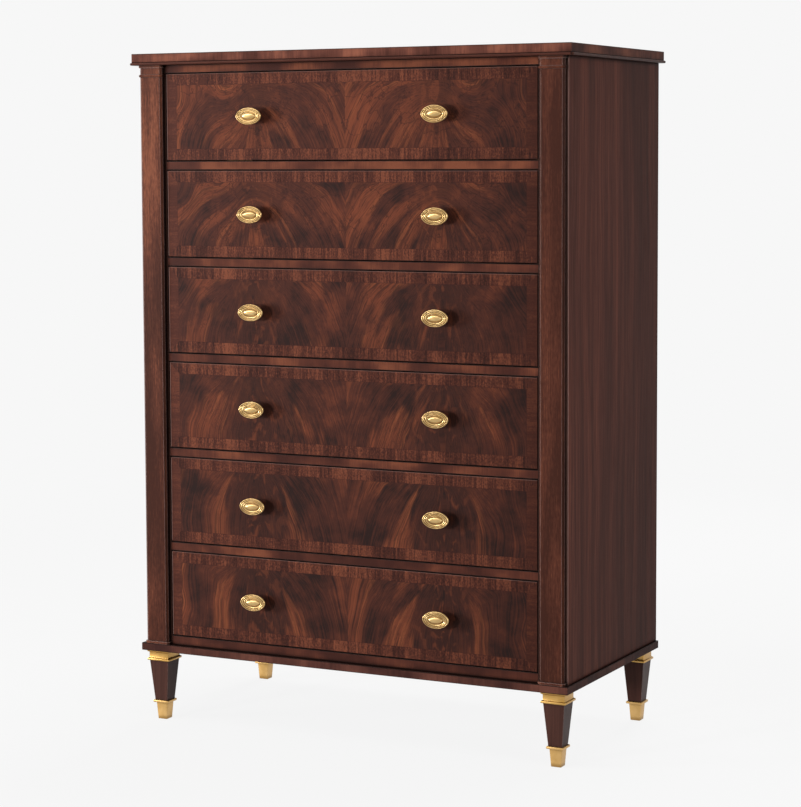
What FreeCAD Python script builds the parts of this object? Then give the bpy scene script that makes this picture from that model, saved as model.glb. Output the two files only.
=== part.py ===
import FreeCAD, Part
import Sketcher
import os
import re

# Tall chest of six drawers on square tapered legs. Millimetres, +Z up, -Y is the front.
# The origin is on the floor, under the middle of the overall box (knobs included).

DRAWER_COUNT = 6
TAILS_PER_CORNER = 4

doc = FreeCAD.newDocument("TallChest")


# ---------------------------------------------------------------- driving sizes

SIZES = {
    # case
    "overall_width": 1016.0,
    "overall_depth": 508.0,
    "moulding_side_overhang": 16.0,
    "moulding_front_overhang": 20.0,
    "side_thickness": 19.0,
    "post_width": 45.0,
    "post_depth": 40.0,
    "back_thickness": 6.0,
    "back_rebate": 9.0,
    "edge_ease": 0.8,
    "glue_gap": 0.1,
    # heights
    "leg_height": 153.0,
    "plinth_thickness": 16.0,
    "bottom_rail_height": 19.0,
    "drawer_opening_height": 185.0,
    "rail_height": 18.0,
    "top_rail_height": 17.0,
    "moulding_height": 5.5,
    "moulding_nose_radius": 2.6,
    "moulding_strip_width": 60.0,
    "top_thickness": 18.8,
    "top_inset": 4.5,
    "carcass_top_thickness": 17.0,
    # rail tenons
    "tenon_length": 12.0,
    "tenon_thickness": 14.0,
    "tenon_shoulder": 3.0,
    # pilasters
    "pilaster_width": 54.0,
    "pilaster_margin": 5.0,
    "pilaster_proud": 11.0,
    "pilaster_bevel": 4.5,
    "capital_height": 25.0,
    "capital_fillet_height": 5.5,
    "astragal_height": 5.5,
    "astragal_radius": 2.5,
    "capital_projection": 2.5,
    "pilaster_base_height": 5.0,
    "pilaster_base_projection": 2.5,
    # plinth
    "plinth_side_overhang": 5.0,
    "plinth_front_overhang": 3.5,
    # legs
    "leg_inset": 35.0,
    "leg_dowel_radius": 10.0,
    "leg_dowel_length": 12.0,
    "leg_top_side": 45.5,
    "leg_bottom_side": 30.0,
    "collar_side": 47.0,
    "collar_wall": 2.0,
    "collar_height": 23.0,
    "collar_flange_side": 54.0,
    "collar_flange_height": 6.0,
    "collar_fillet_height": 5.0,
    "flange_round": 1.8,
    "sabot_height": 42.0,
    "sabot_flange_side": 37.0,
    "sabot_flange_height": 5.5,
    "sabot_top_side": 27.0,
    "sabot_bottom_side": 21.5,
    "sabot_wall": 1.8,
    "sabot_sole": 4.0,
    "sabot_gap": 0.2,
    # runners, guides, dust panels and stops
    "runner_width": 70.0,
    "runner_clearance": 0.3,
    "dust_panel_thickness": 4.0,
    "dust_groove_depth": 8.0,
    "guide_height": 14.0,
    "stop_width": 60.0,
    "stop_depth": 20.0,
    "stop_height": 6.0,
    "stop_spacing": 520.0,
    "stop_clearance": 0.3,
    # drawers
    "drawer_side_gap": 1.5,
    "drawer_top_gap": 1.6,
    "drawer_bottom_gap": 1.6,
    "front_thickness": 20.0,
    "front_lap": 6.0,
    "drawer_side_thickness": 12.0,
    "drawer_side_height": 158.0,
    "drawer_back_thickness": 12.0,
    "drawer_back_drop": 8.0,
    "drawer_back_gap": 10.0,
    "drawer_bottom_thickness": 5.0,
    "drawer_bottom_lift": 12.0,
    "groove_depth": 6.0,
    "groove_clearance": 0.2,
    "tail_root_height": 16.0,
    "tail_tip_height": 22.0,
    # knobs and their screws
    "knob_spacing": 426.0,
    "knob_projection": 30.0,
    "knob_half_width": 30.0,
    "knob_half_height": 18.5,
    "knob_foot_radius": 9.5,
    "knob_foot_thickness": 3.0,
    "knob_stem_radius": 6.5,
    "knob_head_depth": 13.0,
    "knob_rim_depth": 4.5,
    "knob_dish_depth": 1.2,
    "knob_boss_half_width": 17.0,
    "knob_boss_half_height": 9.0,
    "screw_radius": 2.0,
    "screw_clearance": 0.3,
    "screw_thread_depth": 10.0,
    "screw_head_radius": 4.0,
    "screw_head_height": 2.5,
}

# ---------------------------------------------------------------- sizes that follow

LAYOUT = {
    # plan, from the middle outwards and from the front backwards
    "half_width": "overall_width / 2",
    "case_half": "half_width - moulding_side_overhang",
    "side_inner": "case_half - side_thickness",
    "opening_half": "side_inner - post_width",
    "knob_overhang": "knob_projection - moulding_front_overhang",
    "moulding_front": "(knob_overhang - overall_depth) / 2",
    "case_back": "moulding_front + overall_depth",
    "case_face": "moulding_front + moulding_front_overhang",
    "post_back": "case_face + post_depth",
    "back_inner": "case_back - back_thickness",
    "top_front": "moulding_front + top_inset",
    "top_half": "half_width - top_inset",
    "pilaster_face": "case_face - pilaster_proud",
    "pilaster_outer": "case_half - pilaster_margin",
    "pilaster_inner": "pilaster_outer - pilaster_width",
    "plinth_front": "pilaster_face - plinth_front_overhang",
    "plinth_half": "case_half + plinth_side_overhang",
    # heights
    "case_bottom": "leg_height + plinth_thickness",
    "lowest_floor": "case_bottom + bottom_rail_height",
    "drawer_pitch": "drawer_opening_height + rail_height",
    "top_opening": f"lowest_floor + {DRAWER_COUNT} * drawer_pitch - rail_height",
    "case_top": "top_opening + top_rail_height",
    "moulding_top": "case_top + moulding_height",
    "capital_bottom": "case_top - capital_height",
    # tenons
    "mortise_length": "tenon_length + glue_gap",
    "mortise_thickness": "tenon_thickness + 2 * glue_gap",
    # legs
    "collar_bottom": "leg_height - collar_height",
    "collar_bore": "collar_side - 2 * collar_wall",
    "leg_neck_side": "collar_bore - 2 * glue_gap",
    "sabot_bore_top": "sabot_top_side - 2 * sabot_wall",
    "sabot_bore_bottom": "sabot_bottom_side - 2 * sabot_wall",
    # drawers
    "front_half": "opening_half - drawer_side_gap",
    "front_height": "drawer_opening_height - drawer_top_gap - drawer_bottom_gap",
    "front_back": "case_face + front_thickness",
    "box_inner_half": "front_half - drawer_side_thickness",
    "box_end": "back_inner - drawer_back_gap",
    "tail_length": "front_thickness - front_lap",
    "tail_pitch": f"(drawer_side_height - drawer_bottom_gap) / {TAILS_PER_CORNER}",
    "groove_height": "drawer_bottom_thickness + groove_clearance",
    # runners
    "runner_inner": "side_inner - runner_width",
    "dust_groove_height": "dust_panel_thickness + groove_clearance",
    # knobs
    "knob_face": "case_face - knob_projection",
    "knob_head_back": "knob_face + knob_head_depth",
}


def qualified(expression):
    """Turn the plain names in an expression into references to the two sheets."""

    def reference(match):
        name = match.group(0)
        if name in SIZES:
            return "Sizes." + name
        if name in LAYOUT:
            return "Layout." + name
        return name

    return re.sub(r"[a-z][a-z_]*", reference, expression)


def fill_sheet(name, cells):
    sheet = doc.addObject("Spreadsheet::Sheet", name)
    for row, (alias, content) in enumerate(cells.items(), start=1):
        sheet.set(f"A{row}", alias.replace("_", " "))
        sheet.set(f"B{row}", content)
        sheet.setAlias(f"B{row}", alias)
    doc.recompute()
    return sheet


sizes = fill_sheet("Sizes", {alias: str(value) for alias, value in SIZES.items()})
layout = fill_sheet("Layout", {alias: "=" + qualified(formula) for alias, formula in LAYOUT.items()})


# ---------------------------------------------------------------- building blocks

def number(expression):
    """The present value of an expression, to start sketches from."""
    return float(layout.evalExpression(qualified(expression)))


def bind(item, **expressions):
    """Bind properties to expressions. A double underscore stands for a dot."""
    for name, expression in expressions.items():
        item.setExpression(name.replace("__", "."), qualified(expression))


def place(item, across="0", back="0", up="0"):
    bind(item, Placement__Base__x=across, Placement__Base__y=back, Placement__Base__z=up)


def origin_plane(body, role):
    for feature in body.Origin.OriginFeatures:
        if feature.Role == role:
            return feature
    raise ValueError("no origin plane " + role)


def plan_outline(body, name, points):
    """Straight-sided closed outline in plan, each corner measured from the body's origin."""
    sketch = body.newObject("Sketcher::SketchObject", name)
    sketch.AttachmentSupport = [(origin_plane(body, "XY_Plane"), "")]
    sketch.MapMode = "FlatFace"
    corners = [FreeCAD.Vector(number(across), number(back), 0) for across, back in points]
    count = len(corners)
    for index, corner in enumerate(corners):
        sketch.addGeometry(Part.LineSegment(corner, corners[(index + 1) % count]))
    for index in range(count):
        sketch.addConstraint(Sketcher.Constraint("Coincident", index, 2, (index + 1) % count, 1))
    for index, (across, back) in enumerate(points):
        for kind, value, expression in (
            ("DistanceX", corners[index].x, across),
            ("DistanceY", corners[index].y, back),
        ):
            constraint = sketch.addConstraint(Sketcher.Constraint(kind, -1, 1, index, 1, value))
            sketch.setExpression(f"Constraints[{constraint}]", qualified(expression))
    return sketch


def padded_outline(label, points, height, ease="edge_ease"):
    """A flat piece: a plan outline padded upwards, with every edge eased."""
    body = doc.addObject("PartDesign::Body", label)
    sketch = plan_outline(body, label + "_outline", points)
    pad = body.newObject("PartDesign::Pad", label + "_pad")
    pad.Profile = sketch
    bind(pad, Length=height)
    body.Tip = pad
    if ease:
        doc.recompute()
        fillet = body.newObject("PartDesign::Fillet", label + "_ease")
        fillet.Base = (pad, ["Face1"])
        fillet.UseAllEdges = True
        bind(fillet, Radius=ease)
        body.Tip = fillet
    return body


def eased_board(label, span_x, span_y, span_z, ease="edge_ease"):
    """A board with eased edges between pairs of coordinates."""
    (left, right), (front, back), (bottom, top) = span_x, span_y, span_z
    width = f"({right}) - ({left})"
    depth = f"({back}) - ({front})"
    corners = (("0", "0"), (width, "0"), (width, depth), ("0", depth))
    body = padded_outline(label, corners, f"({top}) - ({bottom})", ease)
    place(body, left, front, bottom)
    return body


def plain_board(label, span_x, span_y, span_z):
    """A square-edged board between pairs of coordinates."""
    (left, right), (front, back), (bottom, top) = span_x, span_y, span_z
    box = doc.addObject("Part::Box", label)
    bind(box, Length=f"({right}) - ({left})", Width=f"({back}) - ({front})",
         Height=f"({top}) - ({bottom})")
    place(box, left, front, bottom)
    return box


def mirrored_span(side, inner, outer):
    """An x span on the left (-1) or right (+1), given as distances from the middle."""
    if side > 0:
        return inner, outer
    return f"-({outer})", f"-({inner})"


def joined(label, pieces):
    fusion = doc.addObject("Part::MultiFuse", label)
    fusion.Shapes = pieces
    return fusion


def without(label, base, tools):
    """The base piece with the tool shapes cut away."""
    tool = tools[0] if len(tools) == 1 else joined(label + "_tools", tools)
    cut = doc.addObject("Part::Cut", label)
    cut.Base = base
    cut.Tool = tool
    return cut


def set_of(label, pieces):
    """Separate solids that share one name, such as the four brass shoes."""
    group = doc.addObject("Part::Compound", label)
    group.Links = pieces
    return group


def frustum(label, bottom_side, top_side, height, across, back, up):
    """A square taper standing on its smaller or larger end."""
    wedge = doc.addObject("Part::Wedge", label)
    bind(wedge,
         Xmin=f"-({bottom_side}) / 2", Xmax=f"({bottom_side}) / 2",
         Zmin=f"-({bottom_side}) / 2", Zmax=f"({bottom_side}) / 2",
         X2min=f"-({top_side}) / 2", X2max=f"({top_side}) / 2",
         Z2min=f"-({top_side}) / 2", Z2max=f"({top_side}) / 2",
         Ymin="0", Ymax=height)
    wedge.Placement.Rotation = FreeCAD.Rotation(FreeCAD.Vector(1, 0, 0), 90)
    place(wedge, across, back, up)
    return wedge


def rod(label, radius, length, across, back, up, tilt=0):
    """A round bar along +Z, or along -Y when tilted by 90 degrees."""
    cylinder = doc.addObject("Part::Cylinder", label)
    bind(cylinder, Radius=radius, Height=length)
    cylinder.Placement.Rotation = FreeCAD.Rotation(FreeCAD.Vector(1, 0, 0), tilt)
    place(cylinder, across, back, up)
    return cylinder


LEFT, RIGHT = -1, 1
SIDE_NAMES = {LEFT: "left", RIGHT: "right"}

nodes = []


def keep(*pieces):
    nodes.extend(pieces)


# ---------------------------------------------------------------- case

def floor_of(number_from_top):
    """Height of the surface that a drawer slides on; drawer 1 is at the top."""
    return f"lowest_floor + {DRAWER_COUNT - number_from_top} * drawer_pitch"


def rail_levels():
    """Bottom height and height of each front rail, keyed by the rail's name."""
    levels = {"bottom_rail": ("case_bottom", "bottom_rail_height")}
    for index in range(1, DRAWER_COUNT):
        levels[f"drawer_rail_{index}"] = (f"{floor_of(index)} - rail_height", "rail_height")
    levels["top_rail"] = ("top_opening", "top_rail_height")
    return levels


def tenon(label, side, bottom, height, length, thickness, gap="0"):
    """The stub tenon on a rail's end, or, with a gap, the mortise that takes it."""
    middle = "(case_face + post_back) / 2"
    return plain_board(
        label,
        mirrored_span(side, "opening_half", f"opening_half + {length}"),
        (f"{middle} - {thickness} / 2", f"{middle} + {thickness} / 2"),
        (f"{bottom} + tenon_shoulder - {gap}", f"{bottom} + {height} - tenon_shoulder + {gap}"),
    )


def make_rail(name, bottom, height):
    bar = eased_board(name + "_bar", ("-opening_half", "opening_half"),
                      ("case_face", "post_back"), (bottom, f"{bottom} + {height}"))
    tenons = [
        tenon(f"{name}_tenon_{SIDE_NAMES[side]}", side, bottom, height,
              "tenon_length", "tenon_thickness")
        for side in (LEFT, RIGHT)
    ]
    return joined(name, [bar] + tenons)


def make_post(side):
    """Corner post behind the pilaster, mortised for every rail."""
    name = f"post_{SIDE_NAMES[side]}"
    blank = plain_board(name + "_blank", mirrored_span(side, "opening_half", "side_inner"),
                        ("case_face", "post_back"), ("case_bottom", "case_top"))
    mortises = [
        tenon(f"{name}_mortise_{rail}", side, bottom, height,
              "mortise_length", "mortise_thickness", "glue_gap")
        for rail, (bottom, height) in rail_levels().items()
    ]
    return without(name, blank, mortises)


def make_side_panel(side):
    """Case side with a rebate at the back for the back panel."""
    name = f"side_panel_{SIDE_NAMES[side]}"
    panel = eased_board(name + "_board", mirrored_span(side, "side_inner", "case_half"),
                        ("case_face", "case_back"), ("case_bottom", "case_top"))
    rebate = plain_board(name + "_rebate",
                         mirrored_span(side, "side_inner - 1", "side_inner + back_rebate + glue_gap"),
                         ("back_inner - glue_gap", "case_back + 1"),
                         ("case_bottom - 1", "case_top + 1"))
    return without(name, panel, [rebate])


def make_moulding_strip(label, corners, ease="moulding_nose_radius"):
    strip = padded_outline(label, corners, "moulding_height", ease)
    place(strip, up="case_top")
    return strip


def make_top_moulding():
    """Mitred strips with a rounded nose under the top, and a plain strip at the back."""
    inner_half = "half_width - moulding_strip_width"
    inner_front = "moulding_front + moulding_strip_width"
    front = make_moulding_strip("moulding_front_strip", (
        ("-half_width", "moulding_front"), ("half_width", "moulding_front"),
        (inner_half, inner_front), (f"-({inner_half})", inner_front)))
    strips = [front]
    for side in (LEFT, RIGHT):
        outer, inner = f"{side} * half_width", f"{side} * ({inner_half})"
        strips.append(make_moulding_strip(f"moulding_{SIDE_NAMES[side]}_strip", (
            (outer, "moulding_front"), (outer, "case_back"),
            (inner, "case_back"), (inner, inner_front))))
    strips.append(plain_board("moulding_back_strip", (f"-({inner_half})", inner_half),
                              ("case_back - moulding_strip_width", "case_back"),
                              ("case_top", "moulding_top")))
    return set_of("top_moulding", strips)


def make_case():
    keep(eased_board("top_panel", ("-top_half", "top_half"), ("top_front", "case_back"),
                     ("moulding_top", "moulding_top + top_thickness")))
    keep(make_top_moulding())
    keep(plain_board("carcass_top", ("-side_inner", "side_inner"), ("post_back", "back_inner"),
                     ("case_top - carcass_top_thickness", "case_top")))
    keep(plain_board("carcass_bottom", ("-side_inner", "side_inner"), ("post_back", "back_inner"),
                     ("case_bottom", "lowest_floor")))
    keep(plain_board("back_panel",
                     ("-(side_inner + back_rebate)", "side_inner + back_rebate"),
                     ("back_inner", "case_back"), ("case_bottom", "case_top")))
    for side in (LEFT, RIGHT):
        keep(make_side_panel(side), make_post(side))
    for name, (bottom, height) in rail_levels().items():
        keep(make_rail(name, bottom, height))


# ---------------------------------------------------------------- pilasters

def bevelled_outline(projection):
    """Plan of a pilaster, bevelled on its two front edges and grown by a projection."""
    half = f"(pilaster_width / 2 + {projection})"
    depth = f"(pilaster_proud + {projection})"
    return (
        (f"-{half}", "0"), (f"-{half}", f"-{depth} + pilaster_bevel"),
        (f"-{half} + pilaster_bevel", f"-{depth}"), (f"{half} - pilaster_bevel", f"-{depth}"),
        (half, f"-{depth} + pilaster_bevel"), (half, "0"),
    )


def pilaster_piece(label, side, bottom, height, projection="0", ease="edge_ease / 2"):
    piece = padded_outline(label, bevelled_outline(projection), height, ease)
    place(piece, f"{side} * (pilaster_outer + pilaster_inner) / 2", "case_face", bottom)
    return piece


def make_pilaster(side):
    """Keep one pilaster shaft and return the capital and base that finish it."""
    name = SIDE_NAMES[side]
    shaft_bottom = "case_bottom + pilaster_base_height"
    keep(pilaster_piece(f"pilaster_{name}", side, shaft_bottom, f"capital_bottom - ({shaft_bottom})"))
    necking = pilaster_piece(f"necking_{name}", side, "capital_bottom + astragal_height",
                             "capital_height - astragal_height - capital_fillet_height", ease="")
    fillet = pilaster_piece(f"capital_fillet_{name}", side, "case_top - capital_fillet_height",
                            "capital_fillet_height", "capital_projection", "edge_ease")
    astragal = pilaster_piece(f"astragal_{name}", side, "capital_bottom", "astragal_height",
                              "capital_projection", "astragal_radius")
    capital = joined(f"capital_{name}", [necking, fillet, astragal])
    base = pilaster_piece(f"pilaster_base_{name}", side, "case_bottom", "pilaster_base_height",
                          "pilaster_base_projection")
    return [capital, base]


# ---------------------------------------------------------------- plinth and legs

LEG_PLACES = {
    "front_left": (LEFT, "plinth_front + leg_inset"),
    "front_right": (RIGHT, "plinth_front + leg_inset"),
    "back_left": (LEFT, "case_back - leg_inset"),
    "back_right": (RIGHT, "case_back - leg_inset"),
}


def leg_axis(side):
    return f"{side} * (plinth_half - leg_inset)"


def make_leg(place_name, side, back):
    """Square tapered leg: dowel, neck inside the collar, taper, tip inside the shoe."""
    across = leg_axis(side)
    name = "leg_" + place_name
    dowel = rod(name + "_dowel", "leg_dowel_radius", "leg_dowel_length + 1", across, back,
                "leg_height - 1")
    neck = frustum(name + "_neck", "leg_neck_side", "leg_neck_side", "collar_height",
                   across, back, "collar_bottom")
    taper = frustum(name + "_taper", "leg_bottom_side", "leg_top_side",
                    "collar_bottom - sabot_height", across, back, "sabot_height")
    tip_top = "sabot_bore_top - 2 * sabot_gap"
    tip_bottom = "sabot_bore_bottom - 2 * sabot_gap"
    tip = frustum(name + "_tip", tip_bottom, tip_top, "sabot_height - sabot_sole - sabot_gap",
                  across, back, "sabot_sole + sabot_gap")
    return joined(name, [dowel, neck, taper, tip])


def flange(label, side_length, height, across, back, up):
    """A square brass flange with rounded edges."""
    half = f"({side_length}) / 2"
    return eased_board(label, (f"{across} - {half}", f"{across} + {half}"),
                       (f"{back} - {half}", f"{back} + {half}"), (up, f"{up} + {height}"),
                       "flange_round")


def make_collar(place_name, side, back):
    """Brass sleeve under the plinth with a flange at its top and bottom."""
    across = leg_axis(side)
    name = "collar_" + place_name
    sleeve = frustum(name + "_sleeve", "collar_side", "collar_side", "collar_height",
                     across, back, "collar_bottom")
    top = flange(name + "_top", "collar_flange_side", "collar_fillet_height", across, back,
                 "leg_height - collar_fillet_height")
    bottom = flange(name + "_bottom", "collar_flange_side", "collar_flange_height", across, back,
                    "collar_bottom")
    bore = frustum(name + "_bore", "collar_bore", "collar_bore", "collar_height + 2",
                   across, back, "collar_bottom - 1")
    return without(name, joined(name + "_solid", [sleeve, top, bottom]), [bore])


def make_sabot(place_name, side, back):
    """Brass shoe: a flange over a tapered square cup."""
    across = leg_axis(side)
    name = "sabot_" + place_name
    cup = frustum(name + "_cup", "sabot_bottom_side", "sabot_top_side", "sabot_height",
                  across, back, "0")
    rim = flange(name + "_rim", "sabot_flange_side", "sabot_flange_height", across, back,
                 "sabot_height - sabot_flange_height")
    bore = frustum(name + "_bore", "sabot_bore_bottom", "sabot_bore_top",
                   "sabot_height - sabot_sole", across, back, "sabot_sole")
    return without(name, joined(name + "_solid", [cup, rim]), [bore])


def make_plinth():
    """Plinth board with a blind hole for each leg's dowel."""
    board = eased_board("plinth_board", ("-plinth_half", "plinth_half"),
                        ("plinth_front", "case_back"), ("leg_height", "case_bottom"))
    holes = [
        rod(f"dowel_hole_{name}", "leg_dowel_radius + glue_gap", "leg_dowel_length + 1 + glue_gap",
            leg_axis(side), back, "leg_height - 1")
        for name, (side, back) in LEG_PLACES.items()
    ]
    return without("plinth", board, holes)


def make_stand():
    keep(make_plinth())
    for name, (side, back) in LEG_PLACES.items():
        keep(make_leg(name, side, back))
    keep(set_of("leg_collars", [make_collar(n, s, b) for n, (s, b) in LEG_PLACES.items()]))
    keep(set_of("leg_sabots", [make_sabot(n, s, b) for n, (s, b) in LEG_PLACES.items()]))


# ---------------------------------------------------------------- runners and guides

def make_runner(index, side):
    """Bearer behind a front rail, grooved on its inner edge for the dust panel."""
    name = f"runner_{index}_{SIDE_NAMES[side]}"
    floor = floor_of(index)
    bar = plain_board(name + "_bar", mirrored_span(side, "runner_inner", "side_inner"),
                      ("post_back", "back_inner"), (f"{floor} - rail_height", floor))
    middle = f"({floor} - rail_height / 2)"
    groove = plain_board(name + "_groove",
                         mirrored_span(side, "runner_inner - 1", "runner_inner + dust_groove_depth"),
                         ("post_back - 1", "back_inner + 1"),
                         (f"{middle} - dust_groove_height / 2", f"{middle} + dust_groove_height / 2"))
    return without(name, bar, [groove])


def make_dust_panel(index):
    reach = "runner_inner + dust_groove_depth - groove_clearance"
    bottom = f"{floor_of(index)} - rail_height / 2 - dust_groove_height / 2"
    return plain_board(f"dust_panel_{index}", (f"-({reach})", reach), ("post_back", "back_inner"),
                       (bottom, f"{bottom} + dust_panel_thickness"))


def make_guide(index, side):
    """Strip beside a drawer that keeps it straight on its runner."""
    floor = floor_of(index)
    return plain_board(f"guide_{index}_{SIDE_NAMES[side]}",
                       mirrored_span(side, "opening_half", "side_inner"),
                       ("post_back", "back_inner"), (floor, f"{floor} + guide_height"))


def make_stop(index, side):
    """Small block on a rail that the back of the drawer front meets when it is shut."""
    floor = floor_of(index)
    front = "front_back + stop_clearance"
    return plain_board(f"stop_{index}_{SIDE_NAMES[side]}",
                       mirrored_span(side, "(stop_spacing - stop_width) / 2",
                                     "(stop_spacing + stop_width) / 2"),
                       (front, f"{front} + stop_depth"), (floor, f"{floor} + stop_height"))


def make_running_gear():
    between = range(1, DRAWER_COUNT)
    every = range(1, DRAWER_COUNT + 1)
    sides = (LEFT, RIGHT)
    keep(set_of("drawer_runners", [make_runner(i, side) for i in between for side in sides]))
    keep(set_of("dust_panels", [make_dust_panel(i) for i in between]))
    keep(set_of("drawer_guides", [make_guide(i, side) for i in every for side in sides]))
    keep(set_of("drawer_stops", [make_stop(i, side) for i in every for side in sides]))


# ---------------------------------------------------------------- drawers

def oval(label, half_width, half_height, across, back, up):
    """An upright oval facing the front, as a section of a knob."""
    section = doc.addObject("Part::Ellipse", label)
    bind(section, MajorRadius=half_width, MinorRadius=half_height)
    section.Placement.Rotation = FreeCAD.Rotation(FreeCAD.Vector(1, 0, 0), 90)
    place(section, across, back, up)
    return section


def oval_slice(label, sections, across, up):
    """A solid through upright ovals, each given as half width, half height and y."""
    ovals = [
        oval(f"{label}_oval_{index}", half_width, half_height, across, back, up)
        for index, (half_width, half_height, back) in enumerate(sections)
    ]
    loft = doc.addObject("Part::Loft", label)
    loft.Sections = ovals
    loft.Solid = True
    loft.Ruled = True
    return loft


def make_knob(name, across, up):
    """Oval knob: round foot, stem, oval head with a rim and a raised boss, threaded behind."""
    foot = rod(name + "_foot", "knob_foot_radius", "knob_foot_thickness", across, "case_face", up, 90)
    stem = rod(name + "_stem", "knob_stem_radius", "knob_projection - knob_head_depth + 1",
               across, "case_face", up, 90)
    rim_face = "knob_face + knob_dish_depth"
    head = oval_slice(name + "_head", (
        ("knob_stem_radius + 3", "knob_stem_radius + 1", "knob_head_back"),
        ("knob_half_width - 2", "knob_half_height - 2", f"{rim_face} + knob_rim_depth"),
        ("knob_half_width", "knob_half_height", f"{rim_face} + knob_rim_depth * 0.6"),
        ("knob_half_width", "knob_half_height", f"{rim_face} + knob_rim_depth * 0.3"),
        ("knob_half_width - 2", "knob_half_height - 2", rim_face),
    ), across, up)
    dish = oval_slice(name + "_dish", (
        ("knob_half_width - 6", "knob_half_height - 5", f"{rim_face} + knob_dish_depth"),
        ("knob_half_width - 4", "knob_half_height - 4", f"{rim_face} - 1"),
    ), across, up)
    boss = oval_slice(name + "_boss", (
        ("knob_boss_half_width", "knob_boss_half_height", f"{rim_face} + knob_dish_depth + 1"),
        ("knob_boss_half_width - 2", "knob_boss_half_height - 2", "knob_face + 0.8"),
        ("knob_boss_half_width - 8", "knob_boss_half_height - 5", "knob_face"),
    ), across, up)
    thread = rod(name + "_thread", "screw_radius + glue_gap", "screw_thread_depth + 1",
                 across, "case_face + 1", up, 90)
    dished = without(name + "_dished", joined(name + "_solid", [foot, stem, head]), [dish])
    return without(name, joined(name + "_bossed", [dished, boss]), [thread])


def make_screw(name, across, up):
    """Pan-headed screw from inside the drawer front into the knob."""
    shank_length = "front_thickness + screw_thread_depth - 1"
    shank = rod(name + "_shank", "screw_radius", f"{shank_length} + 1", across,
                "front_back + 1", up, 90)
    head = rod(name + "_head", "screw_head_radius", "screw_head_height", across,
               "front_back + screw_head_height", up, 90)
    return joined(name, [shank, head])


def dovetail(label, side, index, front_bottom):
    """One tail on the front end of a drawer side, wider at its tip than at its root."""
    inner, outer = mirrored_span(side, "box_inner_half", "front_half")
    middle = f"{front_bottom} + ({index} + 0.5) * tail_pitch"
    wedge = doc.addObject("Part::Wedge", label)
    bind(wedge,
         Xmin="0", Xmax="drawer_side_thickness", X2min="0", X2max="drawer_side_thickness",
         Zmin="-tail_tip_height / 2", Zmax="tail_tip_height / 2",
         Z2min="-tail_root_height / 2", Z2max="tail_root_height / 2",
         Ymin="0", Ymax="tail_length")
    place(wedge, inner, "case_face + front_lap", middle)
    return wedge


def make_drawer(index):
    """Dovetailed drawer: front, two sides, back, bottom, and two knobs with their screws."""
    name = f"drawer_{index}"
    floor = floor_of(index)
    front_bottom = f"({floor} + drawer_bottom_gap)"
    side_bottom = f"({floor} + runner_clearance)"
    side_top = f"{side_bottom} + drawer_side_height"
    bottom_base = f"({side_bottom} + drawer_bottom_lift)"
    bottom_top = f"{bottom_base} + drawer_bottom_thickness"
    knob_height = f"{front_bottom} + front_height / 2"
    inner_span = ("-box_inner_half", "box_inner_half")

    tails = {
        side: [dovetail(f"{name}_tail_{SIDE_NAMES[side]}_{tail}", side, tail, front_bottom)
               for tail in range(TAILS_PER_CORNER)]
        for side in (LEFT, RIGHT)
    }
    groove_reach = "box_inner_half + groove_depth"
    groove = plain_board(name + "_bottom_groove", (f"-({groove_reach})", groove_reach),
                         ("front_back - groove_depth", "box_end + 1"),
                         (bottom_base, f"{bottom_base} + groove_height"))

    blank = eased_board(name + "_front_board", ("-front_half", "front_half"),
                        ("case_face", "front_back"),
                        (front_bottom, f"{front_bottom} + front_height"))
    screw_holes = [
        rod(f"{name}_screw_hole_{SIDE_NAMES[side]}", "screw_radius + screw_clearance",
            "front_thickness + 2", f"{side} * knob_spacing / 2", "front_back + 1", knob_height, 90)
        for side in (LEFT, RIGHT)
    ]
    keep(without(name + "_front", blank, tails[LEFT] + tails[RIGHT] + [groove] + screw_holes))

    sides = []
    for side in (LEFT, RIGHT):
        label = f"{name}_side_{SIDE_NAMES[side]}"
        board = plain_board(label + "_board", mirrored_span(side, "box_inner_half", "front_half"),
                            ("front_back", "box_end"), (side_bottom, side_top))
        sides.append(without(label, joined(label + "_tailed", [board] + tails[side]), [groove]))
    keep(set_of(name + "_sides", sides))

    panel_reach = f"({groove_reach} - groove_clearance)"
    keep(plain_board(name + "_bottom", (f"-{panel_reach}", panel_reach),
                     ("front_back - groove_depth + groove_clearance", "box_end"),
                     (bottom_base, bottom_top)))
    keep(plain_board(name + "_back", inner_span, ("box_end - drawer_back_thickness", "box_end"),
                     (bottom_top, f"{side_top} - drawer_back_drop")))

    hardware = []
    for side in (LEFT, RIGHT):
        across = f"{side} * knob_spacing / 2"
        hardware.append(make_knob(f"{name}_knob_{SIDE_NAMES[side]}", across, knob_height))
        hardware.append(make_screw(f"{name}_screw_{SIDE_NAMES[side]}", across, knob_height))
    keep(set_of(name + "_knobs", hardware))


# ---------------------------------------------------------------- assembly

make_case()
keep(set_of("pilaster_mouldings", make_pilaster(LEFT) + make_pilaster(RIGHT)))
make_stand()
make_running_gear()
for drawer in range(1, DRAWER_COUNT + 1):
    make_drawer(drawer)
doc.recompute()


# ---------------------------------------------------------------- checks and export

def check_document():
    for item in doc.Objects:
        if "Invalid" in item.State or "Error" in item.State:
            raise RuntimeError(f"{item.Label} failed: {item.State}")
    for node in nodes:
        if node.Shape.isNull() or not node.Shape.isValid() or not node.Shape.Solids:
            raise RuntimeError(f"{node.Label} has no valid shape")


def export_nodes():
    os.makedirs("parts", exist_ok=True)
    for node in nodes:
        node.Shape.exportStep(f"parts/{node.Label}.step")
        print(f"{node.Label:24s} {len(node.Shape.Solids):3d} solids {node.Shape.Volume:14.1f} mm3")
    print(len(nodes), "nodes")


check_document()
export_nodes()
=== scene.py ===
import math

import bmesh
import bpy
from mathutils import Euler, Matrix, Vector


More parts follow.
